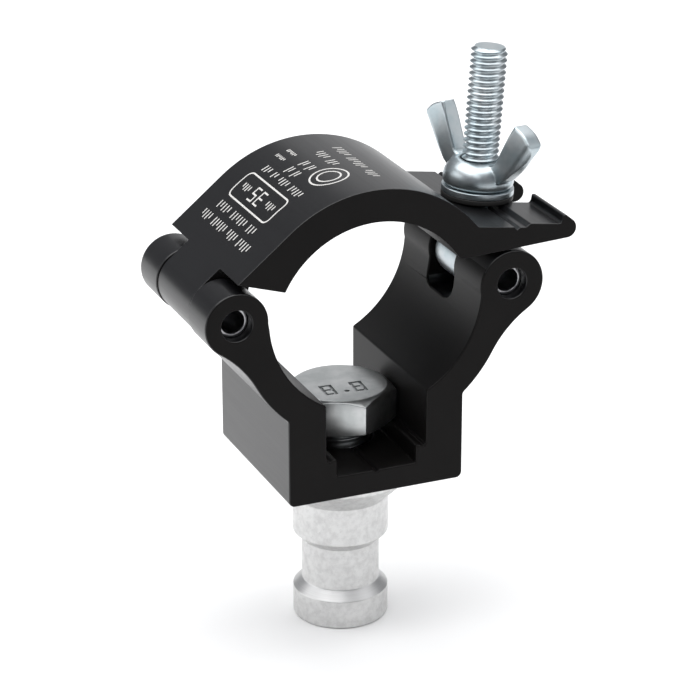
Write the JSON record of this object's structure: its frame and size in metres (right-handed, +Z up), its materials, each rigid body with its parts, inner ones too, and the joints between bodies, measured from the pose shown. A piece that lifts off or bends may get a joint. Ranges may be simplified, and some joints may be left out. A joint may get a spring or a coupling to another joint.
{
  "type": "pipe clamp",
  "caption": "Half-coupler pipe clamp with a hinged arm, a swing bolt with a wing nut, and a grooved spigot for hanging a light from a tube.",
  "frame": {"origin": "centre of the tube seat, half way along the clamp", "axes": "+X from the hinge to the swing bolt, +Y along the tube, +Z up and away from the spigot"},
  "size_m": [0.0629, 0.03, 0.0949],
  "materials": {
    "black_anodised": "satin black anodised extrusion with bright worn edges",
    "spring_steel": "rolled spring steel",
    "bright_zinc": "bright bluish zinc plate",
    "black_nylon": "matt nylon",
    "bare_aluminium": "turned, lightly handled"
  },
  "bodies": {
    "body": {"lower_body": "black_anodised", "hinge_pin": "spring_steel", "swing_bolt_pin": "spring_steel", "hex_bolt": "bright_zinc", "spigot": "bare_aluminium"},
    "arm": {"upper_arm": "black_anodised"},
    "bolt": {"swing_bolt": "bright_zinc"},
    "washers": {"nylon_washer": "black_nylon", "steel_washer": "bright_zinc"},
    "nut": {"wing_nut": "bright_zinc"}
  },
  "joints": [
    {"name": "wing_nut_turn", "type": "hinge", "parent": "washers", "child": "nut", "pos_m": [0.0233, 0, 0], "axis": [0.0732, 0, 0.9973], "range_deg": [0, 6300]},
    {"name": "nut_travel", "type": "slide", "parent": "bolt", "child": "washers", "axis": [0.0732, 0, 0.9973], "range_m": [0, 0.0176]},
    {"name": "arm_open", "type": "hinge", "parent": "body", "child": "arm", "pos_m": [-0.0233, 0, 0], "axis": [0, -1, 0], "range_deg": [0, 18.5]},
    {"name": "bolt_swing", "type": "hinge", "parent": "body", "child": "bolt", "pos_m": [0.0233, 0, 0], "axis": [0, -1, 0], "range_deg": [0, 9.5]}
  ],
  "couplings": [
    {"joint": "nut_travel", "follows": "wing_nut_turn", "m_per_rad": 0.00015915},
    {"joint": "arm_open", "follows": "wing_nut_turn", "ratio": 0.0029},
    {"joint": "bolt_swing", "follows": "wing_nut_turn", "ratio": 0.00145}
  ]
}
